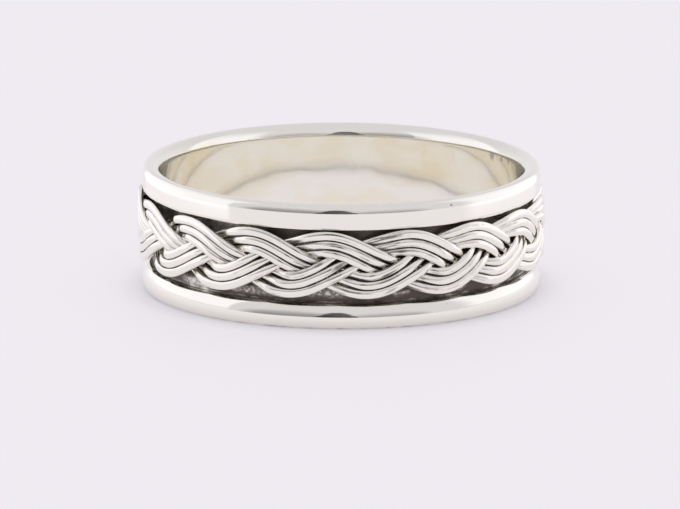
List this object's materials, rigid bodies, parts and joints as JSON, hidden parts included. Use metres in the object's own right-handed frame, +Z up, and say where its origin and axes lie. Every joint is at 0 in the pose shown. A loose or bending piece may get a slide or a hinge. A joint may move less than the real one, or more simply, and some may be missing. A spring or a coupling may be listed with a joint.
{
  "type": "braided band ring",
  "caption": "Silver band ring with two round-edged rails and a flat braid of three-wire strands in the channel between them.",
  "frame": {"origin": "on the axis of the finger hole, on the surface that the ring's lower rail rests on", "axes": "+Z up along the axis of the finger hole, -Y towards the front of the picture's view, +X to its right"},
  "size_m": [0.0214, 0.0214, 0.0066],
  "materials": {
    "band_silver": "polished silver, darkened in the channel",
    "braid_silver": "polished silver wire with dark recesses"
  },
  "bodies": {
    "root": {"band": "band_silver", "strand_1": "braid_silver", "strand_2": "braid_silver", "strand_3": "braid_silver"}
  },
  "joints": []
}
